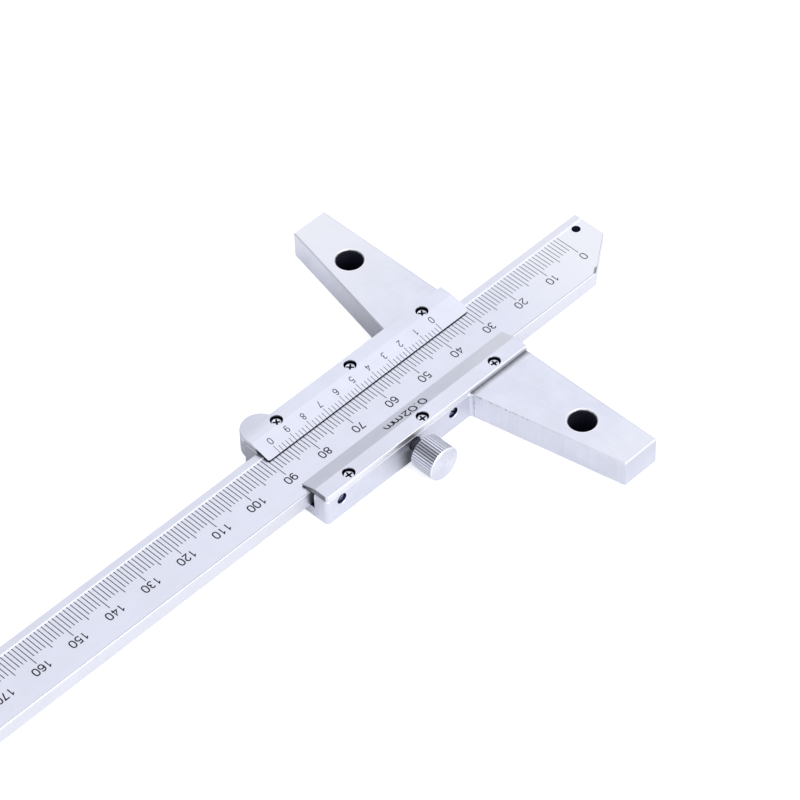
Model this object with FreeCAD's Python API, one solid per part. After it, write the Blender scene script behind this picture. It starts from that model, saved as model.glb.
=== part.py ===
import FreeCAD, Part
import math
import os
from FreeCAD import Vector

# Vernier depth gauge, millimetres.
# The origin is the centre of the measuring face of the base.
# +X runs along the beam to its tip, +Y to the vernier side, +Z out of the scale face.

# Base and slider, one piece
base_length = 100.0
base_thickness = 7.0
left_arm_end_depth = 9.5
left_arm_root_depth = 17.05
right_arm_end_depth = 9.8
right_arm_root_depth = 17.7
slider_length = 60.7
wall_left = 5.0
wall_right = 3.8
arm_corner_radius = 0.3
rear_corner_radius = 0.8
root_radius = 0.6
upper_edge_chamfer = 0.25
lower_edge_chamfer = 0.18
arm_hole_spacing = 70.0
arm_hole_radius = 3.15
arm_hole_setback = 6.9
arm_hole_chamfer = 0.25

# Thumb lug at the rear of the vernier side
lug_radius = 4.4
lug_reach = 2.9
lug_thickness = 4.0
lug_corner_radius = 2.0

# Beam
beam_width = 16.0
beam_thickness = 4.0
beam_length = 285.0
tip_reach = 37.7
tip_flat_width = 8.5
tip_cut_angle = 35.5
tip_corner_radius = 0.3
tip_hole_radius = 1.0
tip_hole_from_end = 3.3
tip_hole_from_side = 3.3
rail_left_width = 1.9
rail_right_width = 1.4
scale_recess = 0.2
beam_edge_chamfer = 0.2

# Fits of the beam, the gib and the plates
slide_clearance = 0.04
rail_clearance = 0.05
gib_thickness = 1.0
gib_wall_gap = 0.12
gib_top_gap = 0.1
gib_end_setback = 0.8
gib_edge_chamfer = 0.15

# Plates on top of the slider
plate_thickness = 1.5
plate_setback = 0.05
cover_rear_setback = 0.25
plate_edge_chamfer = 0.12
vernier_flat_width = 3.4
vernier_bevel_width = 5.25
vernier_lip = 0.12
vernier_front_corner_radius = 1.0
vernier_rear_corner_radius = 0.6
cover_flat_width = 3.75
cover_bevel_width = 3.9
cover_lip = 0.2
plate_corner_radius = 0.2

# Screws that hold the plates
plate_screws_per_side = 3
plate_screw_first = 8.2
plate_screw_pitch = 22.0
vernier_screw_turns = (50.0, 40.0, 55.0)
cover_screw_turns = (81.0, 84.0, 83.0)
vernier_screw_inset = 2.3
cover_screw_inset = 1.95
screw_head_radius = 1.15
screw_head_height = 0.45
screw_head_chamfer = 0.12
screw_seat_depth = 1.2
screw_seat_clearance = 0.3
screw_thread_radius = 0.8
screw_shank_clearance = 0.1
screw_thread_depth = 2.3
tapped_hole_spare = 0.3
thread_clearance = 0.01
cross_span = 1.75
cross_width = 0.44
cross_depth = 0.3
cross_centre_radius = 0.42
drill_point_angle = 59.0

# Gib adjusting screws and clamp screw, in the right wall of the slider
gib_screw_drop = 1.95
gib_screw_radius = 1.25
gib_screw_front_at = 22.8
gib_screw_front_turn = 35.0
gib_screw_rear_at = 56.2
gib_screw_rear_turn = -50.0
gib_screw_sink = 0.6
gib_screw_slot_width = 0.4
gib_screw_slot_depth = 0.6
gib_screw_chamfer = 0.2
side_hole_chamfer = 0.15
gib_dimple_depth = 0.35
gib_dimple_radius = 0.6
clamp_screw_at = 34.55
clamp_screw_drop = 2.15
clamp_thread_radius = 1.5
clamp_turn_clearance = 0.05
clamp_tip_gap = 0.03
clamp_tip_radius = 1.1
knob_radius = 4.1
knob_length = 6.1
knob_gap = 2.7
knob_outer_chamfer = 0.25
knob_inner_chamfer = 0.25
knurl_count = 40
knurl_depth = 0.28
knurl_plain_end = 0.3
shank_groove_radius = 1.25
shank_groove_length = 0.8

# Heights
z_top = base_thickness / 2
z_bottom = -base_thickness / 2
z_rail = z_top - rail_clearance
z_scale = z_rail - scale_recess
z_beam_bottom = z_rail - beam_thickness
z_channel = z_beam_bottom - slide_clearance
z_plate = z_top + plate_thickness
z_screw_seat = z_plate - screw_seat_depth
z_gib_screws = z_top - gib_screw_drop
z_clamp = z_top - clamp_screw_drop

# Widths, from the channel outwards
y_arm_end = base_length / 2
channel_width = beam_width + 2 * slide_clearance + gib_thickness + gib_wall_gap
y_channel_left = channel_width / 2
y_channel_right = -channel_width / 2
y_beam_left = y_channel_left - slide_clearance
y_beam_right = y_beam_left - beam_width
y_gib_inner = y_beam_right - slide_clearance
y_gib_outer = y_gib_inner - gib_thickness
y_left = y_channel_left + wall_left
y_right = y_channel_right - wall_right
y_knob_inner = y_right - knob_gap
y_knob_outer = y_knob_inner - knob_length

# Lengths, from the measuring face back
x_rear = -slider_length
x_plate_front = -plate_setback
x_vernier_rear = x_rear + plate_setback
x_cover_rear = x_rear + cover_rear_setback

# Corners of the arms: the measuring edge, the rear of the end and the root at the slider
left_tip = (0, y_arm_end)
left_end = (-left_arm_end_depth, y_arm_end)
left_root = (-left_arm_root_depth, y_left)
right_tip = (0, -y_arm_end)
right_end = (-right_arm_end_depth, -y_arm_end)
right_root = (-right_arm_root_depth, y_right)

# How far cutting tools stand out of the metal, and how close equal sizes are
overshoot = 1.0
fuzz = 0.001


def block(x0, x1, y0, y1, z0, z1):
    return Part.makeBox(x1 - x0, y1 - y0, z1 - z0, Vector(x0, y0, z0))


def prism(edges, z0, z1):
    face = Part.Face(Part.Wire(edges))
    face.translate(Vector(0, 0, z0))
    return face.extrude(Vector(0, 0, z1 - z0))


def polyline(points):
    return [Part.makeLine(Vector(*a, 0), Vector(*b, 0)) for a, b in zip(points, points[1:])]


def closed_polygon(points):
    return polyline(points + points[:1])


def turned(profile, base, axis):
    """Solid of revolution: profile holds (distance along the axis, radius) pairs."""
    outline = [(profile[0][0], 0.0)] + profile + [(profile[-1][0], 0.0)]
    points = [Vector(radius, 0, along) for along, radius in outline]
    wire = Part.makePolygon(points + points[:1])
    solid = Part.Face(wire).revolve(Vector(0, 0, 0), Vector(0, 0, 1), 360)
    solid.Placement = FreeCAD.Placement(base, FreeCAD.Rotation(Vector(0, 0, 1), axis))
    return solid


def upright_edges(solid, corners):
    """Edges parallel to Z that stand on the given (x, y) corners."""
    found = []
    for edge in solid.Edges:
        box = edge.BoundBox
        if box.ZLength < fuzz or box.XLength + box.YLength > fuzz:
            continue
        if any(math.hypot(box.XMin - x, box.YMin - y) < 10 * fuzz for x, y in corners):
            found.append(edge)
    return found


def level_edges(solid, z):
    """Edges that lie at height z."""
    boxes = [(edge, edge.BoundBox) for edge in solid.Edges]
    return [edge for edge, box in boxes if max(abs(box.ZMin - z), abs(box.ZMax - z)) < fuzz]


def bare_edges(body):
    """Upper edges of the base that no plate lies on: those of the arms and of the lug."""
    found = []
    for edge in level_edges(body, z_top):
        box = edge.BoundBox
        along_slider = box.YMax < y_left + fuzz and box.YMin > y_right - fuzz
        if not along_slider:
            found.append(edge)
    return found


def rim_edges(plate, y_ridge):
    """Upper edges of a plate, without the ridge where its bevel starts."""
    edges = level_edges(plate, z_plate)
    return [edge for edge in edges if abs(edge.BoundBox.Center.y - y_ridge) > fuzz]


def round_upright(solid, corners, radius):
    return solid.makeFillet(radius, upright_edges(solid, corners))


def lug_edges(rear):
    """Arc of the thumb lug, from the slider's left side round to its rear end."""
    x = rear + lug_radius
    y = y_left + lug_reach - lug_radius
    start = math.asin((y_left - y) / lug_radius)
    spots = []
    for angle in (start, (start + math.pi) / 2, math.pi):
        spots.append(Vector(x + lug_radius * math.cos(angle), y + lug_radius * math.sin(angle), 0))
    return spots, [Part.Arc(*spots).toShape()]


def base_outline(rear_edges, rear_left):
    """Outline of the base, closed at the rear left by the given edges."""
    corners = [(x_rear, rear_left), (x_rear, y_right)]
    corners += [right_root, right_end, right_tip, left_tip, left_end, left_root]
    return polyline(corners) + rear_edges


def round_base(solid):
    """Corners that the upper and the lower part of the base share."""
    solid = round_upright(solid, [left_tip, left_end, right_tip, right_end], arm_corner_radius)
    solid = round_upright(solid, [(x_rear, y_right)], rear_corner_radius)
    return round_upright(solid, [left_root, right_root], root_radius)


def make_base():
    # Upper part, with the lug in its outline
    spots, arc = lug_edges(x_rear)
    lead_in = Part.makeLine(Vector(*left_root, 0), spots[0])
    upper = prism(base_outline([lead_in] + arc, spots[2].y), z_top - lug_thickness, z_top)
    upper = round_base(upper)
    upper = upper.makeChamfer(upper_edge_chamfer, bare_edges(upper))

    # Lower part, straight down the slider's left side
    side = polyline([left_root, (x_rear, y_left)])
    lower = round_base(prism(base_outline(side, y_left), z_bottom, z_top - lug_thickness))
    lower = round_upright(lower, [(x_rear, y_left)], lug_corner_radius)
    lower = lower.makeChamfer(lower_edge_chamfer, level_edges(lower, z_bottom))

    solid = upper.fuse(lower).removeSplitter()
    channel = block(
        x_rear - overshoot,
        overshoot,
        y_channel_right,
        y_channel_left,
        z_channel,
        z_top + overshoot,
    )
    solid = solid.cut(channel)
    for y in (arm_hole_spacing / 2, -arm_hole_spacing / 2):
        solid = solid.cut(arm_hole(y))
    for x, y in plate_screw_spots():
        solid = solid.cut(tapped_hole(x, y))
    for at in (gib_screw_front_at, gib_screw_rear_at):
        solid = solid.cut(side_hole(at, z_gib_screws, gib_screw_radius))
    return solid.cut(side_hole(clamp_screw_at, z_clamp, clamp_thread_radius + clamp_turn_clearance))


def arm_hole(y):
    wide = arm_hole_radius + arm_hole_chamfer
    profile = [
        (z_bottom, wide),
        (z_bottom + arm_hole_chamfer, arm_hole_radius),
        (z_top - arm_hole_chamfer, arm_hole_radius),
        (z_top, wide),
    ]
    return turned(profile, Vector(-arm_hole_setback, y, 0), Vector(0, 0, 1))


def tapped_hole(x, y):
    depth = screw_thread_depth + tapped_hole_spare
    point = screw_thread_radius / math.tan(math.radians(drill_point_angle))
    profile = [(0, screw_thread_radius), (depth, screw_thread_radius), (depth + point, 0.0)]
    return turned(profile, Vector(x, y, z_top), Vector(0, 0, -1))


def side_hole(at, z, radius):
    """Hole through the slider's right wall, chamfered outside."""
    profile = [
        (-overshoot, radius + side_hole_chamfer + overshoot),
        (side_hole_chamfer, radius),
        (wall_right + overshoot, radius),
    ]
    return turned(profile, Vector(-at, y_right, z), Vector(0, 1, 0))


def plate_screw_columns():
    return [-(plate_screw_first + i * plate_screw_pitch) for i in range(plate_screws_per_side)]


def plate_screw_spots():
    rows = (y_left - vernier_screw_inset, y_right + cover_screw_inset)
    return [(x, y) for y in rows for x in plate_screw_columns()]


def make_beam():
    x_end = tip_reach - beam_length
    y_flat = y_beam_left - tip_flat_width
    cut_length = (y_flat - y_beam_right) / math.tan(math.radians(tip_cut_angle))
    corners = [
        (x_end, y_beam_right),
        (tip_reach - cut_length, y_beam_right),
        (tip_reach, y_flat),
        (tip_reach, y_beam_left),
        (x_end, y_beam_left),
    ]
    solid = prism(closed_polygon(corners), z_beam_bottom, z_rail)
    solid = round_upright(solid, corners, tip_corner_radius)
    long_edges = level_edges(solid, z_beam_bottom) + level_edges(solid, z_rail)
    solid = solid.makeChamfer(beam_edge_chamfer, long_edges)
    recess = block(
        x_end - overshoot,
        tip_reach + overshoot,
        y_beam_right + rail_right_width,
        y_beam_left - rail_left_width,
        z_scale,
        z_rail + overshoot,
    )
    hole_start = Vector(
        tip_reach - tip_hole_from_end,
        y_beam_left - tip_hole_from_side,
        z_beam_bottom - overshoot,
    )
    hole = Part.makeCylinder(tip_hole_radius, beam_thickness + 2 * overshoot, hole_start)
    return solid.cut(recess).cut(hole)


def plate_blank(section, x_end):
    """Section given as (y, z) points, drawn out along the slider."""
    points = [Vector(x_end, y, z) for y, z in section]
    face = Part.Face(Part.makePolygon(points + points[:1]))
    return face.extrude(Vector(x_plate_front - x_end, 0, 0))


def screw_seats(y):
    """Counterbores and clearance holes of a plate, as one tool."""
    wide = screw_head_radius + screw_seat_clearance
    narrow = screw_thread_radius + screw_shank_clearance
    profile = [
        (z_top - overshoot, narrow),
        (z_screw_seat, narrow),
        (z_screw_seat, wide),
        (z_plate + overshoot, wide),
    ]
    tools = [turned(profile, Vector(x, y, 0), Vector(0, 0, 1)) for x in plate_screw_columns()]
    return tools[0].fuse(tools[1:])


def make_vernier_plate():
    y_ridge = y_left - vernier_flat_width
    y_tip = y_ridge - vernier_bevel_width
    y_lug = y_left + lug_reach
    section = [
        (y_lug, z_top),
        (y_lug, z_plate),
        (y_ridge, z_plate),
        (y_tip, z_top + vernier_lip),
        (y_tip, z_top),
    ]
    spots, arc = lug_edges(x_vernier_rear)
    front_left = (x_plate_front, y_left)
    front_tip = (x_plate_front, y_tip)
    rear_tip = (x_vernier_rear, y_tip)
    straight = polyline([(x_vernier_rear, spots[2].y), rear_tip, front_tip, front_left])
    side = Part.makeLine(Vector(*front_left, 0), spots[0])
    plan = prism(straight + [side] + arc, z_top, z_plate)
    plan = round_upright(plan, [front_left], plate_corner_radius)
    plan = round_upright(plan, [front_tip], vernier_front_corner_radius)
    plan = round_upright(plan, [rear_tip], vernier_rear_corner_radius)
    solid = plate_blank(section, x_vernier_rear - overshoot).common(plan)
    solid = solid.makeChamfer(plate_edge_chamfer, rim_edges(solid, y_ridge))
    return solid.cut(screw_seats(y_left - vernier_screw_inset))


def make_cover_plate():
    y_ridge = y_right + cover_flat_width
    y_tip = y_ridge + cover_bevel_width
    section = [
        (y_right, z_top),
        (y_right, z_plate),
        (y_ridge, z_plate),
        (y_tip, z_top + cover_lip),
        (y_tip, z_top),
    ]
    solid = plate_blank(section, x_cover_rear)
    solid = round_upright(solid, [(x_plate_front, y_right)], plate_corner_radius)
    solid = round_upright(solid, [(x_cover_rear, y_right)], rear_corner_radius)
    solid = solid.makeChamfer(plate_edge_chamfer, rim_edges(solid, y_ridge))
    return solid.cut(screw_seats(y_right + cover_screw_inset))


def make_plate_screw(x, y, turn):
    """Flat-headed screw with a cross recess, its head sunk in the plate."""
    head_top = z_screw_seat + screw_head_height
    shank = screw_thread_radius - thread_clearance
    tip = z_top - screw_thread_depth
    profile = [
        (tip, shank - screw_head_chamfer),
        (tip + screw_head_chamfer, shank),
        (z_screw_seat, shank),
        (z_screw_seat, screw_head_radius),
        (head_top - screw_head_chamfer, screw_head_radius),
        (head_top, screw_head_radius - screw_head_chamfer),
    ]
    solid = turned(profile, Vector(x, y, 0), Vector(0, 0, 1))
    long = cross_span / 2
    wide = cross_width / 2
    for angle in (turn, turn + 90):
        bar = block(-long, long, -wide, wide, head_top - cross_depth, head_top + overshoot)
        bar.rotate(Vector(0, 0, 0), Vector(0, 0, 1), angle)
        bar.translate(Vector(x, y, 0))
        solid = solid.cut(bar)
    centre = Part.makeCone(0.0, cross_centre_radius, cross_depth, Vector(x, y, head_top - cross_depth))
    return solid.cut(centre)


def dimple(at):
    """Cone that a gib screw's point leaves in the gib."""
    start = Vector(-at, y_gib_outer, z_gib_screws)
    return Part.makeCone(gib_dimple_radius, 0.0, gib_dimple_depth, start, Vector(0, 1, 0))


def make_gib():
    x_back = x_rear + gib_end_setback
    solid = block(x_back, -gib_end_setback, y_gib_outer, y_gib_inner, z_channel, z_top - gib_top_gap)
    solid = solid.makeChamfer(gib_edge_chamfer, solid.Edges)
    for at in (gib_screw_front_at, gib_screw_rear_at):
        solid = solid.cut(dimple(at))
    return solid


def make_gib_screw(at, turn):
    radius = gib_screw_radius - thread_clearance
    outer = y_right + gib_screw_sink
    length = y_gib_outer - outer
    profile = [
        (0, radius - gib_screw_chamfer),
        (gib_screw_chamfer, radius),
        (length - (radius - gib_dimple_radius), radius),
        (length, gib_dimple_radius),
        (length + gib_dimple_depth, 0.0),
    ]
    start = Vector(-at, outer, z_gib_screws)
    solid = turned(profile, start, Vector(0, 1, 0))
    wide = gib_screw_slot_width / 2
    slot = block(-radius, radius, -overshoot, gib_screw_slot_depth, -wide, wide)
    slot.rotate(Vector(0, 0, 0), Vector(0, 1, 0), turn)
    slot.translate(start)
    return solid.cut(slot)


def knurl_groove(angle):
    """One V groove along the knob, cut from outside its rim."""
    outside = knob_radius + knurl_depth
    bottom = knob_radius - knurl_depth
    spread = outside * math.sin(math.pi / knurl_count)
    corners = [Vector(bottom, 0, 0), Vector(outside, 0, spread), Vector(outside, 0, -spread)]
    face = Part.Face(Part.makePolygon(corners + corners[:1]))
    length = knob_length - knob_outer_chamfer - knurl_plain_end
    groove = face.extrude(Vector(0, length, 0))
    groove.rotate(Vector(0, 0, 0), Vector(0, 1, 0), angle)
    groove.translate(Vector(-clamp_screw_at, y_knob_outer + knob_outer_chamfer, z_clamp))
    return groove


def make_clamp_screw():
    tip = y_gib_outer - clamp_tip_gap - y_knob_outer
    shank_start = knob_length + shank_groove_length
    profile = [
        (0, knob_radius - knob_outer_chamfer),
        (knob_outer_chamfer, knob_radius),
        (knob_length - knob_inner_chamfer, knob_radius),
        (knob_length, knob_radius - knob_inner_chamfer),
        (knob_length, shank_groove_radius),
        (shank_start, shank_groove_radius),
        (shank_start, clamp_thread_radius),
        (tip - (clamp_thread_radius - clamp_tip_radius), clamp_thread_radius),
        (tip, clamp_tip_radius),
    ]
    solid = turned(profile, Vector(-clamp_screw_at, y_knob_outer, z_clamp), Vector(0, 1, 0))
    return solid.cut([knurl_groove(360.0 * i / knurl_count) for i in range(knurl_count)])


def make_parts():
    parts = {
        "base_and_slider": make_base(),
        "beam": make_beam(),
        "vernier_plate": make_vernier_plate(),
        "cover_plate": make_cover_plate(),
        "gib": make_gib(),
        "gib_screw_front": make_gib_screw(gib_screw_front_at, gib_screw_front_turn),
        "gib_screw_rear": make_gib_screw(gib_screw_rear_at, gib_screw_rear_turn),
        "clamp_screw": make_clamp_screw(),
    }
    places = ("front", "middle", "rear")
    names = [side + "_screw_" + place for side in ("vernier", "cover") for place in places]
    turns = vernier_screw_turns + cover_screw_turns
    for name, (x, y), turn in zip(names, plate_screw_spots(), turns):
        parts[name] = make_plate_screw(x, y, turn)
    return parts


os.makedirs("parts", exist_ok=True)
for name, shape in make_parts().items():
    solid = shape.removeSplitter().Solids[0]
    solid.exportStep("parts/" + name + ".step")
    print(name, "valid", solid.isValid(), "volume", round(solid.Volume, 2), "solids", len(shape.Solids))
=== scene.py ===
import math

import bpy
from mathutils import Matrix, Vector


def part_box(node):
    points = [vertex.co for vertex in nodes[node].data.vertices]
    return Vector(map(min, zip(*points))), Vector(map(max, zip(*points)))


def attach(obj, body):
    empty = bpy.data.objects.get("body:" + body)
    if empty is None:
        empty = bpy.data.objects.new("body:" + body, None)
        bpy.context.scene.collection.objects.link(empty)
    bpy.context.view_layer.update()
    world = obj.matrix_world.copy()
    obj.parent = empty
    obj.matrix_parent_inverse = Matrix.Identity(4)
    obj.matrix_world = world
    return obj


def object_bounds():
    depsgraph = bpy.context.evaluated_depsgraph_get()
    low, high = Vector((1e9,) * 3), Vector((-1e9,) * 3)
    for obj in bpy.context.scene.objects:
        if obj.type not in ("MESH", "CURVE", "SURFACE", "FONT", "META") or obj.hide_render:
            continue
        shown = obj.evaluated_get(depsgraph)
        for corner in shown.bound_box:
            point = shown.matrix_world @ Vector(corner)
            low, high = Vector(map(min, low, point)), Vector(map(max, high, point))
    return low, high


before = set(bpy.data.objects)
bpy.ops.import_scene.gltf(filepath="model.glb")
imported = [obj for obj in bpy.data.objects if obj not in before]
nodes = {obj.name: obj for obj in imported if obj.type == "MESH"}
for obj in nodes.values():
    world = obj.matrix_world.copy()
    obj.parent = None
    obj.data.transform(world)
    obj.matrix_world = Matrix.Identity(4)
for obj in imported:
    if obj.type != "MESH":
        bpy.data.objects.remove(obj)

cad_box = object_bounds()

# Sizes are in millimetres unless a comment says otherwise, and MM turns them into metres
MM = 0.001

# Main scale on the beam: y of the near ends and of the far ends of its lines
SCALE_ZERO_X = 29.38
SCALE_RANGE = 249
SCALE_LAST_NUMERAL = 240
SCALE_RECESS = 0.2
LINE_START_Y = 6.5
LINE_END_Y = {10: -0.12, 5: 0.72, 1: 1.73}
NUMERAL_BASE_Y = -0.78
NUMERAL_HEIGHT = 1.83
NUMERAL_ADVANCE = 0.87

# Its boldness at zero, and the gain that it grows by up to BOLD_FROM
BOLDNESS_AT_ZERO = 0.88
BOLDNESS_GAIN = 0.34
BOLD_FROM = 110

# Vernier: distances up the bevel from its reading edge
VERNIER_ZERO_X = -8.32
VERNIER_PITCH = 0.98
VERNIER_DIVISIONS = 50
VERNIER_LABEL_EVERY = 5
VERNIER_EDGE = (4.95, 3.62)
VERNIER_RIDGE = (10.2, 5.0)
VERNIER_LINE_START = 0.02
VERNIER_LINE = 1.5
VERNIER_LABELLED_LINE = 2.12
VERNIER_NUMERAL_NEAR = 2.6
VERNIER_NUMERAL_HEIGHT = 1.55
VERNIER_NUMERAL_SHIFT = 0.1
VERNIER_NUMERAL_PITCH = 0.972
VERNIER_NUMERAL_STRETCH = 0.86

# Resolution mark on the cover plate's bevel
COVER_RIDGE = (-8.65, 5.0)
COVER_EDGE = (-4.75, 3.7)
MARK_START_X = -26.85
MARK_FROM_RIDGE = 0.62
MARK_HEIGHT = 1.92
MARK_DIGIT_STRETCH = 1.25
MARK_LETTER_STRETCH = 1.1
MARK_TEXT = (("0", 0.0), (".", 1.5), ("0", 2.93), ("2", 4.86), ("m", 7.32), ("m", 9.80))

# Widths of the engraved lines, and how far the ribbons lie over the steel
MAIN_LINE = 0.15
VERNIER_LINE_WIDTH = 0.12
MAIN_STROKE = 0.25
VERNIER_STROKE = 0.18
MARK_STROKE = 0.33
MARK_LIFT = 0.012

# Outlines of characters: power of the rounded zero, and the least cosine at a mitred corner
ZERO_POWER = 0.75
MITRE_LIMIT = 0.5
SAME_POINT = 1e-6


def arc(x, y, rx, ry, start, end, steps=16):
    """Points on an ellipse, angles in degrees."""
    angles = [math.radians(start + (end - start) * i / steps) for i in range(steps + 1)]
    return [(x + rx * math.cos(a), y + ry * math.sin(a)) for a in angles]


def rounded(value):
    """A sine or cosine that draws an ellipse out towards its corners."""
    return math.copysign(abs(value) ** ZERO_POWER, value)


def oval(x, y, rx, ry, steps=28):
    """Closed outline between an ellipse and a rectangle."""
    angles = [2 * math.pi * i / steps for i in range(steps + 1)]
    return [(x + rx * rounded(math.cos(a)), y + ry * rounded(math.sin(a))) for a in angles]


def turned_half_round(strokes):
    return [[(GLYPH_WIDTH - x, 1.0 - y) for x, y in stroke] for stroke in strokes]


# Single-stroke characters, one unit tall, as an engraver cuts them
GLYPH_WIDTH = 0.64
GLYPH_WIDTHS = {".": 0.12, "m": 1.04}
SIX = [
    arc(0.32, 0.31, 0.30, 0.31, 180, 540, 24),
    [(0.02, 0.31), (0.02, 0.62)] + arc(0.33, 0.66, 0.31, 0.34, 172, 38, 12),
]
GLYPHS = {
    "0": [oval(0.32, 0.5, 0.31, 0.5)],
    "1": [[(0.12, 0.78), (0.26, 0.87), (0.38, 1.0), (0.38, 0.0)]],
    "2": [arc(0.30, 0.71, 0.28, 0.29, 168, -32) + [(0.01, 0.0), (0.61, 0.0)]],
    "3": [arc(0.29, 0.76, 0.25, 0.24, 150, -90), arc(0.29, 0.26, 0.31, 0.26, 90, -150)],
    "4": [[(0.47, 0.0), (0.47, 1.0), (0.0, 0.29), (0.64, 0.29)]],
    "5": [[(0.56, 1.0), (0.12, 1.0), (0.07, 0.54)] + arc(0.29, 0.32, 0.31, 0.32, 125, -150)],
    "6": SIX,
    "7": [[(0.01, 1.0), (0.60, 1.0), (0.20, 0.0)]],
    "8": [arc(0.31, 0.76, 0.24, 0.24, 0, 360, 20), arc(0.31, 0.26, 0.30, 0.26, 0, 360, 24)],
    "9": turned_half_round(SIX),
    ".": [[(0.0, 0.0), (0.12, 0.0)]],
    "m": [
        [(0.0, 0.0), (0.0, 0.70)],
        arc(0.26, 0.46, 0.26, 0.24, 180, 0, 10) + [(0.52, 0.0)],
        arc(0.78, 0.46, 0.26, 0.24, 180, 0, 10) + [(1.04, 0.0)],
    ],
}


def surface(origin, right, up):
    """Map from (along right, along up) in millimetres to a point in metres just over a face."""
    origin = Vector(origin)
    right = Vector(right).normalized()
    up = Vector(up).normalized()
    lift = right.cross(up) * MARK_LIFT

    def place(u, v):
        return (origin + right * u + up * v + lift) * MM

    return place


def corner_offset(before, here, after, half):
    """Sideways step of a stroke's edge at one of its points."""
    sides = []
    for a, b in ((before, here), (here, after)):
        if a is None or b is None:
            continue
        step = Vector((b[0] - a[0], b[1] - a[1])).normalized()
        sides.append(Vector((-step.y, step.x)))
    if len(sides) == 1:
        return sides[0] * half
    middle = (sides[0] + sides[1]).normalized()
    return middle * (half / max(MITRE_LIMIT, middle.dot(sides[0])))


def add_stroke(mesh, place, points, width):
    """Flat ribbon of even width along a line, with mitred corners."""
    closed = math.dist(points[0], points[-1]) < SAME_POINT
    if closed:
        points = points[:-1]
    count = len(points)
    rows = []
    for i, here in enumerate(points):
        before = points[i - 1] if closed or i > 0 else None
        after = points[(i + 1) % count] if closed or i < count - 1 else None
        side = corner_offset(before, here, after, width / 2)
        rows.append(len(mesh["verts"]))
        mesh["verts"].append(place(here[0] + side.x, here[1] + side.y))
        mesh["verts"].append(place(here[0] - side.x, here[1] - side.y))
    links = list(zip(rows, rows[1:]))
    if closed:
        links.append((rows[-1], rows[0]))
    for a, b in links:
        mesh["faces"].append((a, a + 1, b + 1, b))


def add_glyph(mesh, place, char, at, height, width, stretch=1.0):
    """One character with the middle of its foot at (u, v)."""
    u, v = at
    half = GLYPH_WIDTHS.get(char, GLYPH_WIDTH) / 2
    for stroke in GLYPHS[char]:
        points = [(u + (x - half) * height * stretch, v + y * height) for x, y in stroke]
        add_stroke(mesh, place, points, width)


def empty_mesh():
    return {"verts": [], "faces": []}


def boldness(reading):
    """Width of the main scale's lines and numerals, as a share of the usual one."""
    return BOLDNESS_AT_ZERO + BOLDNESS_GAIN * min(1.0, reading / BOLD_FROM)


def main_scale():
    mesh = empty_mesh()
    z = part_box("beam")[1].z / MM - SCALE_RECESS
    place = surface((SCALE_ZERO_X, 0, z), (-1, 0, 0), (0, -1, 0))
    for reading in range(SCALE_RANGE + 1):
        far_end = next(y for every, y in LINE_END_Y.items() if reading % every == 0)
        ends = [(reading, -LINE_START_Y), (reading, -far_end)]
        add_stroke(mesh, place, ends, MAIN_LINE * boldness(reading))
    step = NUMERAL_HEIGHT * NUMERAL_ADVANCE
    for reading in range(0, SCALE_LAST_NUMERAL + 1, 10):
        text = str(reading)
        stroke = MAIN_STROKE * boldness(reading)
        for i, char in enumerate(text):
            u = reading + step * (i - (len(text) - 1) / 2)
            add_glyph(mesh, place, char, (u, -NUMERAL_BASE_Y), NUMERAL_HEIGHT, stroke)
    return mesh


def vernier_scale():
    mesh = empty_mesh()
    edge = Vector((0, *VERNIER_EDGE))
    ridge = Vector((0, *VERNIER_RIDGE))
    place = surface((VERNIER_ZERO_X, *VERNIER_EDGE), (-1, 0, 0), edge - ridge)
    height = VERNIER_NUMERAL_HEIGHT
    foot = -(VERNIER_NUMERAL_NEAR + height)
    for division in range(VERNIER_DIVISIONS + 1):
        labelled = division % VERNIER_LABEL_EVERY == 0
        u = division * VERNIER_PITCH
        reach = VERNIER_LABELLED_LINE if labelled else VERNIER_LINE
        add_stroke(mesh, place, [(u, -reach), (u, -VERNIER_LINE_START)], VERNIER_LINE_WIDTH)
        if labelled:
            char = str(division // VERNIER_LABEL_EVERY % 10)
            at = (VERNIER_NUMERAL_SHIFT + division * VERNIER_NUMERAL_PITCH, foot)
            add_glyph(mesh, place, char, at, height, VERNIER_STROKE, VERNIER_NUMERAL_STRETCH)
    return mesh


def resolution_mark():
    mesh = empty_mesh()
    ridge = Vector((0, *COVER_RIDGE))
    edge = Vector((0, *COVER_EDGE))
    place = surface((MARK_START_X, *COVER_RIDGE), (-1, 0, 0), ridge - edge)
    foot = -(MARK_FROM_RIDGE + MARK_HEIGHT)
    for char, u in MARK_TEXT:
        stretch = MARK_LETTER_STRETCH if char == "m" else MARK_DIGIT_STRETCH
        add_glyph(mesh, place, char, (u, foot), MARK_HEIGHT, MARK_STROKE, stretch)
    return mesh


def make_piece(name, mesh, material, body):
    data = bpy.data.meshes.new(name)
    data.from_pydata([tuple(v) for v in mesh["verts"]], [], mesh["faces"])
    data.validate()
    data.update()
    piece = bpy.data.objects.new(name, data)
    bpy.context.scene.collection.objects.link(piece)
    data.materials.append(material)
    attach(piece, body)
    return piece


# Full strength, and plain white
FULL = 1.0
WHITE = (1.0, 1.0, 1.0, 1.0)

# Noise of the grain, the clouds and the grit: scale per metre, detail, roughness
GRAIN = (1.0, 3.0, 0.6)
CLOUDS = (160.0, 4.0, 0.6)
GRIT = (3200.0, 2.0, 0.5)


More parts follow.
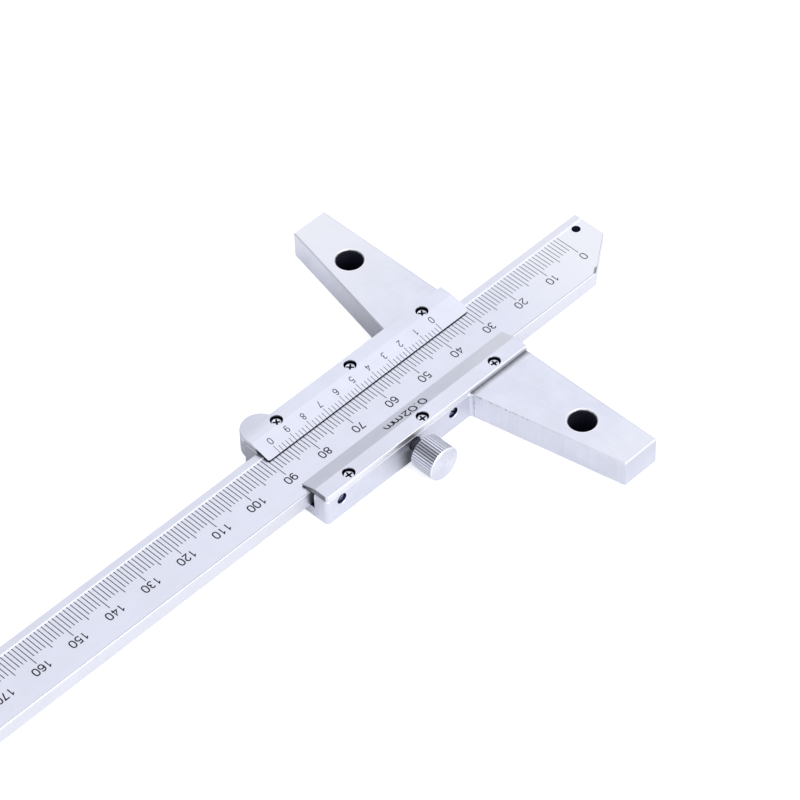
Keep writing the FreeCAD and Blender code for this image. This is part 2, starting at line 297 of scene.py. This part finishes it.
class Graph:
    """Adds and links shader nodes. place is the point on the object, or the direction in a world."""

    def __init__(self, tree, place="Object"):
        self.tree = tree
        self.place = self.coordinates(place)

    def add(self, kind, **settings):
        node = self.tree.nodes.new(kind)
        for name, value in settings.items():
            setattr(node, name, value)
        return node

    def put(self, node, socket, value):
        target = node.inputs[socket]
        if isinstance(value, bpy.types.NodeSocket):
            self.tree.links.new(value, target)
        else:
            target.default_value = value

    def coordinates(self, output):
        return self.add("ShaderNodeTexCoord").outputs[output]

    def math(self, operation, a, b=0.0):
        node = self.add("ShaderNodeMath", operation=operation)
        self.put(node, 0, a)
        self.put(node, 1, b)
        return node.outputs[0]

    def vector(self, operation, a, b, output=0):
        node = self.add("ShaderNodeVectorMath", operation=operation)
        self.put(node, 0, a)
        self.put(node, 1, b)
        return node.outputs[output]

    def dot(self, a, b):
        return self.vector("DOT_PRODUCT", a, b, "Value")

    def split(self, vector):
        """The x, y and z of a vector, as outputs X, Y and Z."""
        node = self.add("ShaderNodeSeparateXYZ")
        self.put(node, 0, vector)
        return node.outputs

    def product(self, values):
        total = values[0]
        for value in values[1:]:
            total = self.math("MULTIPLY", total, value)
        return total

    def largest(self, values):
        total = values[0]
        for value in values[1:]:
            total = self.math("MAXIMUM", total, value)
        return total

    def weighted(self, terms, start=None):
        """Sum of values times their weights, added to start."""
        total = start
        for value, weight in terms:
            part = self.math("MULTIPLY", value, weight)
            total = part if total is None else self.math("ADD", total, part)
        return total

    def steps(self, value, low, high, to_low=0.0, to_high=1.0):
        """Smooth step of a value from to_low at low to to_high at high."""
        node = self.add("ShaderNodeMapRange", interpolation_type="SMOOTHSTEP")
        for socket, number in enumerate((value, low, high, to_low, to_high)):
            self.put(node, socket, number)
        return node.outputs[0]

    def noise(self, scale, detail=2.0, roughness=0.5, place=None):
        """Noise of a scale per metre."""
        node = self.add("ShaderNodeTexNoise")
        self.put(node, "Vector", self.place if place is None else place)
        self.put(node, "Scale", scale)
        self.put(node, "Detail", detail)
        self.put(node, "Roughness", roughness)
        return node.outputs["Fac"]

    def grain(self, fineness):
        """Noise drawn out along x, y and z, with a fineness along each per metre."""
        return self.noise(*GRAIN, place=self.vector("MULTIPLY", self.place, list(fineness)))

    def blotches(self, scale, detail, *limits):
        return self.steps(self.noise(scale, detail), *limits)

    def mix(self, factor, a, b):
        node = self.add("ShaderNodeMix", data_type="RGBA")
        self.put(node, 0, factor)
        self.put(node, 6, a)
        self.put(node, 7, b)
        return node.outputs[2]

    def distance(self, centre, axis):
        """Distance in metres from the line through centre along an axis."""
        away = self.vector("SUBTRACT", self.place, [c * MM for c in centre])
        flat = self.vector("MULTIPLY", away, [0.0 if name == axis else 1.0 for name in "XYZ"])
        node = self.add("ShaderNodeVectorMath", operation="LENGTH")
        self.put(node, 0, flat)
        return node.outputs["Value"]

    def in_cylinder(self, centre, axis, radius):
        """1 inside an endless cylinder along an axis, and 0 outside it."""
        return self.math("LESS_THAN", self.distance(centre, axis), radius * MM)

    def in_cylinders(self, centres, axis, radius):
        return self.largest([self.in_cylinder(centre, axis, radius) for centre in centres])

    def beyond(self, axis, limit, reach):
        """Soft step from 0 at the limit to 1 when the coordinate has gone on by reach."""
        return self.steps(self.split(self.place)[axis], limit * MM, (limit + reach) * MM)

    def patch(self, strength, *ramps):
        """A painted place. strength is a number from 0 to 1, or else the scale, detail, limits and
        strengths of blotches, and each ramp is (axis, where it is 0, how far on it is 1)."""
        values = [self.beyond(*ramp) for ramp in ramps]
        if isinstance(strength, tuple):
            values.append(self.blotches(*strength))
        elif strength != FULL:
            values.append(strength)
        return self.product(values)

    def patches(self, places):
        return [self.patch(*place) for place in places.values()]


# Edges, rubbed and painted bright as a highlight: width, the cosines between which they show, how
# clouds wear them, and their gain
EDGE_SAMPLES = 4
EDGE_WIDTH = 0.22
EDGE_COSINES = (0.995, 0.90)
EDGE_WEAR = (0.3, 0.7, 0.5, 1.0)
EDGE_GAIN = 1.12

# Shares of clouds and grain in the tint, and its range
TINT_CLOUDS = 0.6
TINT_GRAIN = 0.4
TINT_RANGE = (0.3, 0.7)

# Shares of grain and grit in the bump, and its depth
BUMP_GRAIN = 0.7
BUMP_GRIT = 0.3
BUMP_DEPTH = 0.02

# Roughness: how much less all over, and what clouds, grit, edges, and places of painted light and
# painted shade add
ROUGH_LESS = 0.06
ROUGH_CLOUDS = 0.07
ROUGH_GRIT = 0.05
ROUGH_EDGE = -0.06
ROUGH_BRIGHT = 0.14
ROUGH_DARK = 0.12

# Cosines between which a face counts as one across x, and as one towards the rear
END_FACE = (0.6, 0.8)
REAR_FACE = (0.80, 0.90)

# Colour of shaded metal, and of the metal inside bores, which shows where the shade is strong
SHADE = [0.012, 0.012, 0.022, 1.0]
BORE_SHADE = [0.060, 0.068, 0.165, 1.0]
DEEP_SHADE = (0.72, 0.88)


def brushed(graph):
    """Marks along the grain of the body's faces, upright on its ends."""
    facing = graph.dot(graph.coordinates("Normal"), [1.0, 0.0, 0.0])
    across = graph.steps(graph.math("ABSOLUTE", facing), *END_FACE)
    along = graph.math("SUBTRACT", 1.0, across)
    return graph.weighted([(graph.grain(BODY_GRAIN), along), (graph.grain(BODY_END_GRAIN), across)])


def satin(graph):
    return graph.grain(LONG_GRAIN)


def plain(graph):
    return graph.grain(EVEN_GRAIN)


def turned(graph):
    """Fine rings round the knob's axis."""
    rings = graph.math("SINE", graph.product([graph.distance(KNOB_AXIS, "Y"), RING_FINENESS]))
    return graph.weighted([(rings, RING_SWING)], RING_MIDDLE)


def steel(
    name, marks, roughness, bump_strength, mottle, edge_light,
    colour=None, shade=None, glow=None, deep=SHADE,
):
    """Ground or turned steel. marks(graph) gives its grain, shade(graph) where painted shade darkens
    the metal, glow(graph) where painted light brightens it, and deep is the colour where the painted
    shade is strongest."""
    colour = colour or STEEL
    material = bpy.data.materials.new(name)
    material.use_nodes = True
    graph = Graph(material.node_tree)
    shader = material.node_tree.nodes["Principled BSDF"]

    lines = marks(graph)
    clouds = graph.noise(*CLOUDS)
    grit = graph.noise(*GRIT)

    # Edges rubbed bright, with a painted highlight laid on them
    bevel = graph.add("ShaderNodeBevel", samples=EDGE_SAMPLES)
    graph.put(bevel, "Radius", EDGE_WIDTH * MM)
    normal = graph.add("ShaderNodeNewGeometry").outputs["Normal"]
    edge = graph.steps(graph.dot(bevel.outputs[0], normal), *EDGE_COSINES)
    edge = graph.math("MULTIPLY", edge, graph.steps(clouds, *EDGE_WEAR))

    dark = [channel * (1 - 2 * mottle) for channel in colour] + [1.0]
    light = [min(1.0, channel * (1 + mottle)) for channel in colour] + [1.0]
    bright = [min(1.0, channel * EDGE_GAIN) for channel in colour] + [1.0]
    blend = graph.weighted([(clouds, TINT_CLOUDS), (lines, TINT_GRAIN)])
    tint = graph.mix(graph.steps(blend, *TINT_RANGE), dark, light)
    tint = graph.mix(graph.math("MULTIPLY", edge, edge_light), tint, bright)

    terms = [(clouds, ROUGH_CLOUDS), (grit, ROUGH_GRIT), (edge, ROUGH_EDGE)]
    # Painted light, mixed towards white
    if glow:
        painted_light = glow(graph)
        tint = graph.mix(painted_light, tint, WHITE)
        terms.append((painted_light, ROUGH_BRIGHT))
    # Painted shade, in the deep colour where it is strongest
    if shade:
        painted_shade = shade(graph)
        tint = graph.mix(painted_shade, tint, graph.mix(graph.steps(painted_shade, *DEEP_SHADE), SHADE, deep))
        terms.append((painted_shade, ROUGH_DARK))

    bump = graph.add("ShaderNodeBump")
    graph.put(bump, "Strength", bump_strength)
    graph.put(bump, "Distance", BUMP_DEPTH * MM)
    graph.put(bump, "Height", graph.weighted([(lines, BUMP_GRAIN), (grit, BUMP_GRIT)]))

    graph.put(shader, "Base Color", tint)
    graph.put(shader, "Metallic", 1.0)
    graph.put(shader, "Roughness", graph.weighted(terms, roughness - ROUGH_LESS))
    graph.put(shader, "Normal", bump.outputs[0])
    return material


# Filler of the engraved lines: its clouds, how much lighter it is where worn, and its bumps
INK = [0.010, 0.010, 0.018]
INK_CLOUDS = (900.0, 3.0)
INK_WEAR = (0.35, 0.75)
INK_WORN_GAIN = 2.2
INK_ROUGHNESS = (0.2, 0.8, 0.5, 0.7)
INK_GLOSS = 0.15
INK_BUMPS = (9000.0, 1.0)
INK_BUMP_STRENGTH = 0.2
INK_BUMP_DEPTH = 0.01


def ink(name):
    """Black filler in the engraved lines, slightly uneven."""
    material = bpy.data.materials.new(name)
    material.use_nodes = True
    graph = Graph(material.node_tree)
    shader = material.node_tree.nodes["Principled BSDF"]
    clouds = graph.noise(*INK_CLOUDS)
    worn = [channel * INK_WORN_GAIN for channel in INK] + [1.0]
    bump = graph.add("ShaderNodeBump")
    graph.put(bump, "Strength", INK_BUMP_STRENGTH)
    graph.put(bump, "Distance", INK_BUMP_DEPTH * MM)
    graph.put(bump, "Height", graph.noise(*INK_BUMPS))
    graph.put(shader, "Base Color", graph.mix(graph.steps(clouds, *INK_WEAR), INK + [1.0], worn))
    graph.put(shader, "Specular IOR Level", INK_GLOSS)
    graph.put(shader, "Roughness", graph.steps(clouds, *INK_ROUGHNESS))
    graph.put(shader, "Normal", bump.outputs[0])
    return material


# Fineness of the grain along x, y and z, per metre
BODY_GRAIN = (5200.0, 120.0, 5200.0)
BODY_END_GRAIN = (1900.0, 1900.0, 90.0)
LONG_GRAIN = (90.0, 6500.0, 6500.0)
EVEN_GRAIN = (4000.0, 4000.0, 4000.0)

# Rings on the knob: radians per metre, and the swing and middle of their wave
RING_FINENESS = 26000.0
RING_SWING = 0.3
RING_MIDDLE = 0.5

# Holes and screws of the CAD pieces: centres, and radii a little wider than the bores
ARM_HOLES = ((-6.9, 35.0, 0.0), (-6.9, -35.0, 0.0))
ARM_HOLE_RADIUS = 3.19
ARM_HOLE_RIM = 0.3
ARM_HOLE_GLOW = 0.43
ARM_CHAMFER_Z = 3.22
SIDE_HOLES = (
    ((-22.8, 0.0, 1.55), 1.29),
    ((-56.2, 0.0, 1.55), 1.29),
    ((-34.55, 0.0, 1.35), 1.59),
)
RIGHT_SIDE = ("Y", 0.0, -1.0)
TIP_HOLE = (34.4, 5.26, 0.0)
TIP_HOLE_RADIUS = 1.03
TIP_HOLE_RIM = 0.22
PLATE_SCREW_X = (-8.2, -30.2, -52.2)
VERNIER_SCREW_Y = 11.3
COVER_SCREW_Y = -10.44
SEAT_RADIUS = 1.47
RECESS_RADIUS = 0.92
KNOB_AXIS = (-34.55, 0.0, 1.35)

# Shade in an arm hole: at its top, what depth adds to it, and the depth it takes
HOLE_SHADE = 0.60
HOLE_SHADE_BY_DEPTH = 0.29
HOLE_DEPTH = ("Z", ARM_CHAMFER_Z, -0.9)

# Painted shade and painted light, as Graph.patch takes them
HOLE_WALL = (FULL, ("Z", ARM_CHAMFER_Z, -0.01), ("Z", -3.47, 0.01))
HOLE_CHAMFER = ((1500.0, 3.0, 0.3, 0.7, 0.25, 0.65), ("Z", ARM_CHAMFER_Z, 0.01), ("Z", 3.43, -0.05))
# Painted shade on the body
BODY_DARK = {
    "beam channel": (FULL, ("Y", 8.63, -0.02), ("Y", -8.63, 0.02), ("Z", -0.62, 0.02)),
    # Painted shade, blotched, in the corner between the right arm and the cover plate
    "corner by the cover plate": (
        (700.0, 3.0, 0.2, 0.6, 0.45, 0.65),
        ("Y", -14.0, 1.6), ("Y", -11.4, -0.5), ("X", -17.9, 0.6), ("Z", 3.4, 0.05),
    ),
    # Painted shade in specks along the upper edge, standing for burrs on the right arm
    "shade of burrs on the right arm": (
        (1500.0, 2.0, 0.50, 0.60, 0.0, 0.45),
        ("Z", 3.24, 0.03), ("Z", 3.49, -0.03), ("Y", -13.0, -0.5), ("Y", -29.0, 5.0),
    ),
    # Painted shadow and reflection of the knob on the slider's side
    "side beside the knob": (
        0.76, ("Y", -12.2, -0.1), ("X", -40.4, 4.4), ("X", -34.4, -0.8), ("Z", 1.9, -1.9)
    ),
    "end of the right arm": (0.06, ("Y", -49.7, -0.1)),
    "measuring edge": (0.14, ("X", -0.42, 0.05), ("Z", 3.2, 0.04)),
}
# Painted shade on faces turned to the rear: the left arm, darker towards its root, and a broken line
# at the right arm's root
BODY_REAR_DARK = {
    "rear of the left arm": (0.42, ("Y", 8.6, 0.1), ("Y", 46.0, -34.0)),
    "shade line at the right arm's root": (
        (1100.0, 3.0, 0.3, 0.7, 0.1, 0.5), ("Y", -13.15, -0.06), ("Y", -13.48, 0.06)
    ),
}
# Painted light on the tops of the arms, brighter towards their ends
BODY_BRIGHT = {
    "top of the left arm": (0.7, ("Y", 8.0, 42.0), ("Z", 3.2, 0.05)),
    "top of the right arm": (0.35, ("Y", -36.0, -12.0), ("Z", 3.2, 0.05)),
}
# Painted highlight on the rims of the arm holes
HOLE_RIM_BRIGHT = (0.95, ("Z", 3.38, 0.06))
SEAT_DEPTH = ("Z", 4.98, -0.45)
PLATE_UNDERSIDE = (FULL, ("Z", 3.55, -0.02))
# Painted shade on the vernier plate: its underside, the lip of the reading edge, the rear of its top
# and its rear end
VERNIER_DARK = {
    "underside": PLATE_UNDERSIDE,
    "lip of the reading edge": (FULL, ("Z", 3.58, -0.01), ("Y", 5.3, -0.05)),
    "rear of the flat top and the lug": (0.14, ("Y", 10.8, 3.0), ("X", -46.0, -10.0)),
}
VERNIER_REAR_END = (FULL, ("X", -60.61, -0.02), ("Z", 4.95, -0.8))
VERNIER_NEAR_BEAM = ("Y", 9.2, -0.8)
VERNIER_REAR_SHADE = (0.42, 0.95)
# Painted shade on the cover plate
COVER_DARK = {
    "underside": PLATE_UNDERSIDE,
    "rear end": (0.72, ("X", -60.40, -0.02), ("Y", -12.6, 1.2)),
    "side by the right arm": (0.48, ("X", -17.9, 0.6), ("Y", -12.34, -0.02), ("Z", 4.9, -1.4)),
    "rear of the bevel": (0.05, ("X", -20.0, -26.0), ("Y", -8.7, 0.1)),
    "rear of the flat top": (0.05, ("X", -26.0, -20.0), ("Z", 4.93, 0.03)),
}
# Painted light on the cover plate's side and on the front of its bevel
COVER_BRIGHT = {
    "painted light on the side": (0.8, ("Y", -12.26, -0.04)),
    "front of the bevel": (0.40, ("X", -24.0, 24.0), ("Y", -8.7, 0.1)),
}
# Painted shade on the beam
BEAM_DARK = {
    "outer edge of the right rail": (0.55, ("Y", -7.13, -0.05), ("Y", -7.30, 0.05)),
    "left rail": (0.045, ("Y", 6.95, 0.1)),
    "outer edge of the left rail": (0.13, ("Y", 8.34, 0.04)),
    "line along the right side": (0.16, ("Y", -7.42, -0.015), ("Z", 3.10, 0.04)),
}
# Painted light and highlights on the beam
BEAM_BRIGHT = {
    "highlight on the step of the left rail": (FULL, ("Y", 6.58, 0.05), ("Y", 6.84, -0.05)),
    "strip by the right rail": (0.12, ("Y", -7.15, 0.08), ("Y", -6.70, -0.1)),
    "right side": (0.45, ("Y", -7.42, -0.015)),
    "front of the scale face": (0.7, ("X", 0.0, 30.0), ("Y", 6.7, -0.1), ("Y", -7.3, 0.1)),
    "front of the left rail": (0.45, ("X", 0.0, 30.0), ("Y", 6.8, 0.1)),
    "chamfer of the right rail": (FULL, ("Y", -7.26, -0.04), ("Z", 3.27, 0.02), ("X", -30.0, 40.0)),
}
TIP_HOLE_RIM_BRIGHT = 0.9
HEAD_BOTTOM = (FULL, ("Z", 4.05, -0.1))
HEAD_RECESS = (FULL, ("Z", 4.22, -0.02))
GIB_SCREW_SLOT = (FULL, ("Y", -11.75, 0.05))
KNOB_FACE = (FULL, ("Y", -21.16, -0.02))
KNOB_RIM_BRIGHT = (0.9, ("Y", -21.18, 0.02), ("Y", -20.90, -0.04))
KNOB_GROOVES = (0.62, ("Y", -20.96, 0.04))
KNOB_SHANK = (FULL, ("Y", -15.07, 0.04))

# The beam's slanted cut: across it, and from there on the line and the end of the rail carry painted
# shade
CUT_DIRECTION = [0.581, -0.814, 0.0]
CUT_LINE = (21.70, 21.76)
CUT_LINE_DARK = (0.35, ("Z", 3.2, 0.04))
RAIL_END = (21.22, 21.34)
RAIL_END_DARK = (0.62, ("Y", -5.7, -0.6), ("Y", -7.3, 0.1), ("Z", 3.2, 0.04))

# Distances from the knob's axis between which painted shade grows in its grooves
GROOVE_RADII = (4.08, 3.84)

# The knob's thread: its pitch, and its wave's range and shade
THREAD_PITCH = 0.5
THREAD_SHADE = (-1.0, 1.0, 0.90, 0.99)

# Painted sheen on the knob's face: how many bright sectors, their turn, and their limits and
# strength
SHEEN_SECTORS = 2.0
SHEEN_TURN = 0.9
SHEEN = (-0.2, 1.0, 0.0, 0.3)


def body_shade(graph):
    """Painted shade in the bores, the channel and the corner by the cover plate, and on faces in
    shade.
    """
    near_holes = graph.in_cylinders(ARM_HOLES, "Z", ARM_HOLE_RADIUS + ARM_HOLE_RIM)
    depth = graph.weighted([(graph.beyond(*HOLE_DEPTH), HOLE_SHADE_BY_DEPTH)], HOLE_SHADE)
    side_bores = [graph.in_cylinder(centre, "Y", radius) for centre, radius in SIDE_HOLES]
    facing = graph.dot(graph.coordinates("Normal"), [-1.0, 0.0, 0.0])
    to_rear = graph.steps(facing, *REAR_FACE)
    return graph.largest([
        graph.product([graph.largest(side_bores), graph.beyond(*RIGHT_SIDE)]),
        graph.product([near_holes, depth, graph.patch(*HOLE_WALL)]),
        graph.product([near_holes, graph.patch(*HOLE_CHAMFER)]),
        *graph.patches(BODY_DARK),
        *(graph.product([to_rear, place]) for place in graph.patches(BODY_REAR_DARK)),
    ])


def body_glow(graph):
    """Painted light: the arms are brighter on top towards their ends, and so are the rims of their
    holes.
    """
    near_holes = graph.in_cylinders(ARM_HOLES, "Z", ARM_HOLE_RADIUS + ARM_HOLE_GLOW)
    rims = graph.product([near_holes, graph.patch(*HOLE_RIM_BRIGHT)])
    return graph.largest([*graph.patches(BODY_BRIGHT), rims])


def seats(graph, row_y):
    """Screw seats of a plate, darker with depth."""
    inside = graph.in_cylinders([(x, row_y, 0) for x in PLATE_SCREW_X], "Z", SEAT_RADIUS)
    return graph.product([inside, graph.beyond(*SEAT_DEPTH)])


def vernier_shade(graph):
    """Screw seats, the underside with the lip of the reading edge, and the rear end."""
    by_beam = graph.steps(graph.beyond(*VERNIER_NEAR_BEAM), 0.0, 1.0, *VERNIER_REAR_SHADE)
    rear_end = graph.product([graph.patch(*VERNIER_REAR_END), by_beam])
    return graph.largest([seats(graph, VERNIER_SCREW_Y), rear_end, *graph.patches(VERNIER_DARK)])


def cover_shade(graph):
    """Screw seats, the underside, the rear end and the side next to the right arm."""
    return graph.largest([seats(graph, COVER_SCREW_Y), *graph.patches(COVER_DARK)])


def cover_glow(graph):
    """Painted light: the side of the plate is brighter than its top, and so is the front of its
    bevel.
    """
    return graph.largest(graph.patches(COVER_BRIGHT))


def beam_shade(graph):
    """Painted shade in the hole in the tip, on the edges of both rails and at the edge of the
    slanted cut.
    """
    across_cut = graph.dot(graph.place, CUT_DIRECTION)
    dark = [graph.in_cylinder(TIP_HOLE, "Z", TIP_HOLE_RADIUS), *graph.patches(BEAM_DARK)]
    for limits, place in ((CUT_LINE, CUT_LINE_DARK), (RAIL_END, RAIL_END_DARK)):
        at_cut = graph.steps(across_cut, *(limit * MM for limit in limits))
        dark.append(graph.product([at_cut, graph.patch(*place)]))
    return graph.largest(dark)


def beam_glow(graph):
    """Painted highlights on the steps and edges of the rails, on the beam's side and its tip, and on
    the rim of the hole.
    """
    rim = graph.in_cylinder(TIP_HOLE, "Z", TIP_HOLE_RADIUS + TIP_HOLE_RIM)
    return graph.largest([*graph.patches(BEAM_BRIGHT), graph.product([rim, TIP_HOLE_RIM_BRIGHT])])


def head_shade(graph):
    """Cross recesses of the plate screws and everything below their heads."""
    centres = [(x, y, 0) for y in (VERNIER_SCREW_Y, COVER_SCREW_Y) for x in PLATE_SCREW_X]
    inside = graph.in_cylinders(centres, "Z", RECESS_RADIUS)
    recesses = graph.product([inside, graph.patch(*HEAD_RECESS)])
    return graph.largest([recesses, graph.patch(*HEAD_BOTTOM)])


def gib_screw_shade(graph):
    """Slot of a gib screw."""
    return graph.patch(*GIB_SCREW_SLOT)


def knob_shade(graph):
    """Threaded shank, and the bottoms of the knurling."""
    deep = graph.steps(graph.distance(KNOB_AXIS, "Y"), *(radius * MM for radius in GROOVE_RADII))
    turns = graph.math("MULTIPLY", graph.split(graph.place)["Y"], 2 * math.pi / (THREAD_PITCH * MM))
    thread = graph.steps(graph.math("SINE", turns), *THREAD_SHADE)
    return graph.largest([
        graph.product([graph.patch(*KNOB_SHANK), thread]),
        graph.product([deep, graph.patch(*KNOB_GROOVES)]),
    ])


def knob_glow(graph):
    """Painted sheen on the turned face of the knob in two opposite sectors, and a painted highlight
    on its rim.
    """
    away = graph.split(graph.vector("SUBTRACT", graph.place, [c * MM for c in KNOB_AXIS]))
    angle = graph.math("ARCTAN2", away["Z"], away["X"])
    wave = graph.math("COSINE", graph.weighted([(angle, SHEEN_SECTORS)], SHEEN_TURN))
    face = graph.product([graph.steps(wave, *SHEEN), graph.patch(*KNOB_FACE)])
    return graph.largest([face, graph.patch(*KNOB_RIM_BRIGHT)])


# Colours of the metals
STEEL = [0.835, 0.847, 0.915]
# The gib's colour is darkened to near black, as painted shade for the slot where its end shows
GIB_COLOUR = [0.022, 0.022, 0.036]
GIB_SCREW_COLOUR = [0.50, 0.51, 0.60]

body_steel = steel(
    "body_ground_steel", brushed, roughness=0.37, bump_strength=0.16, mottle=0.035, edge_light=0.6,
    shade=body_shade, glow=body_glow, deep=BORE_SHADE,
)
beam_steel = steel(
    "beam_satin_steel", satin, roughness=0.34, bump_strength=0.10, mottle=0.02, edge_light=0.6,
    shade=beam_shade, glow=beam_glow, deep=BORE_SHADE,
)
vernier_steel = steel(
    "vernier_satin_steel", satin, roughness=0.33, bump_strength=0.12, mottle=0.025, edge_light=0.5,
    shade=vernier_shade,
)
cover_steel = steel(
    "cover_satin_steel", satin, roughness=0.33, bump_strength=0.12, mottle=0.025, edge_light=0.5,
    shade=cover_shade, glow=cover_glow,
)
gib_steel = steel(
    "gib_spring_steel", satin, roughness=0.40, bump_strength=0.2, mottle=0.10, edge_light=0.3,
    colour=GIB_COLOUR,
)
plate_screw_steel = steel(
    "plate_screw_steel", plain, roughness=0.27, bump_strength=0.2, mottle=0.06, edge_light=0.8,
    shade=head_shade,
)
gib_screw_steel = steel(
    "gib_screw_steel", plain, roughness=0.28, bump_strength=0.2, mottle=0.06, edge_light=0.6,
    colour=GIB_SCREW_COLOUR, shade=gib_screw_shade,
)
knob_steel = steel(
    "knob_turned_steel", turned, roughness=0.27, bump_strength=0.35, mottle=0.04, edge_light=0.5,
    shade=knob_shade, glow=knob_glow,
)
mark_ink = ink("engraving_black")

# The six plate screws share one finish
FINISHES = {
    "base_and_slider": body_steel,
    "beam": beam_steel,
    "vernier_plate": vernier_steel,
    "cover_plate": cover_steel,
    "gib": gib_steel,
    "gib_screw_front": gib_screw_steel,
    "gib_screw_rear": gib_screw_steel,
    "clamp_screw": knob_steel,
}
for name, piece in nodes.items():
    piece.data.materials.clear()
    piece.data.materials.append(FINISHES.get(name, plate_screw_steel))

make_piece("main_scale_marks", main_scale(), mark_ink, "measuring_beam")
make_piece("vernier_scale_marks", vernier_scale(), mark_ink, "slider")
make_piece("resolution_mark", resolution_mark(), mark_ink, "slider")

# Camera, in metres and degrees
CAMERA_PLACE = (-0.42150, -0.41404, 0.61789)
CAMERA_TURN = (42.7488, 1.5492, -45.3208)
CAMERA_LENS = 176.77
CAMERA_SENSOR = 36.0
CAMERA_CLIP = (0.01, 20.0)

# Room: its light, and its dark parts as direction, cosines of rim and core, share of light left
ROOM_LEVEL = 1.02
ROOM_TINT = (0.97, 0.985, 1.06, 1.0)
DARK_PARTS = (
    ((0.15, 0.92, -0.36), 0.15, 0.80, 0.66),
    ((-0.42, 0.64, 0.64), 0.72, 0.97, 0.42),
)

# Key lamp: place, target and size in metres, power in watts
LAMP_PLACE = (-0.05, -0.90, 0.52)
LAMP_TARGET = (-0.03, 0.0, 0.0)
LAMP_SIZE = 0.55
LAMP_POWER = 2.6

# Floor: half its side in metres, its gap under the object, and its paper, with painted shade in the
# arm holes
FLOOR_HALF = 2.0
FLOOR_GAP = 0.02
PAPER = (0.84, 0.84, 0.85, 1.0)
PAPER_SHADE_IN_HOLES = (0.01, 0.01, 0.01, 1.0)
PAPER_HOLE_RADIUS = 3.4
PAPER_ROUGHNESS = 0.9
PAPER_SEEN = 0.55
PAPER_MIRRORED = 0.08


def camera():
    data = bpy.data.cameras.new("camera")
    data.sensor_width = CAMERA_SENSOR
    data.lens = CAMERA_LENS
    data.clip_start, data.clip_end = CAMERA_CLIP
    view = bpy.data.objects.new("camera", data)
    view.location = CAMERA_PLACE
    view.rotation_euler = [math.radians(a) for a in CAMERA_TURN]
    bpy.context.scene.collection.objects.link(view)
    bpy.context.scene.camera = view


def key_lamp():
    data = bpy.data.lights.new("key_lamp", "AREA")
    data.shape = "DISK"
    data.size = LAMP_SIZE
    data.energy = LAMP_POWER
    lamp = bpy.data.objects.new("key_lamp", data)
    lamp.location = LAMP_PLACE
    towards = Vector(LAMP_TARGET) - Vector(LAMP_PLACE)
    lamp.rotation_euler = towards.to_track_quat("-Z", "Y").to_euler()
    bpy.context.scene.collection.objects.link(lamp)


def paper():
    """White paper, with painted shade where it shows through the arm holes. It glows for the
    camera, and a little for mirrored and transmitted rays."""
    material = bpy.data.materials.new("paper_white")
    material.use_nodes = True
    graph = Graph(material.node_tree)
    shader = material.node_tree.nodes["Principled BSDF"]
    shade_under_holes = graph.in_cylinders(ARM_HOLES, "Z", PAPER_HOLE_RADIUS)
    path = graph.add("ShaderNodeLightPath").outputs
    mirrored = graph.math("MAXIMUM", path["Is Glossy Ray"], path["Is Transmission Ray"])
    white = graph.largest([
        graph.math("MULTIPLY", path["Is Camera Ray"], PAPER_SEEN),
        graph.math("MULTIPLY", mirrored, PAPER_MIRRORED),
    ])
    strength = graph.product([white, graph.math("SUBTRACT", 1.0, shade_under_holes)])
    graph.put(shader, "Base Color", graph.mix(shade_under_holes, PAPER, PAPER_SHADE_IN_HOLES))
    graph.put(shader, "Roughness", PAPER_ROUGHNESS)
    graph.put(shader, "Specular IOR Level", 0.0)
    graph.put(shader, "Emission Color", WHITE)
    graph.put(shader, "Emission Strength", strength)
    return material


def floor():
    z = cad_box[0].z - FLOOR_GAP * MM
    signs = ((-1, -1), (1, -1), (1, 1), (-1, 1))
    data = bpy.data.meshes.new("floor")
    data.from_pydata([(x * FLOOR_HALF, y * FLOOR_HALF, z) for x, y in signs], [], [(0, 1, 2, 3)])
    data.update()
    plane = bpy.data.objects.new("floor", data)
    bpy.context.scene.collection.objects.link(plane)
    data.materials.append(paper())


def studio():
    """White room with two darker parts, plain white to the camera."""
    world = bpy.data.worlds.new("studio")
    bpy.context.scene.world = world
    world.use_nodes = True
    graph = Graph(world.node_tree, "Generated")
    background = world.node_tree.nodes["Background"]
    room = ROOM_LEVEL
    for towards, rim, core, level in DARK_PARTS:
        near = graph.dot(graph.place, list(Vector(towards).normalized()))
        room = graph.product([graph.steps(near, rim, core, 1.0, level), room])
    seen = graph.add("ShaderNodeLightPath").outputs["Is Camera Ray"]
    graph.put(background, "Color", graph.mix(seen, ROOM_TINT, WHITE))
    graph.put(background, "Strength", graph.math("MAXIMUM", room, seen))


camera()
floor()
studio()
key_lamp()

scene = bpy.context.scene
scene.view_settings.view_transform = "Standard"
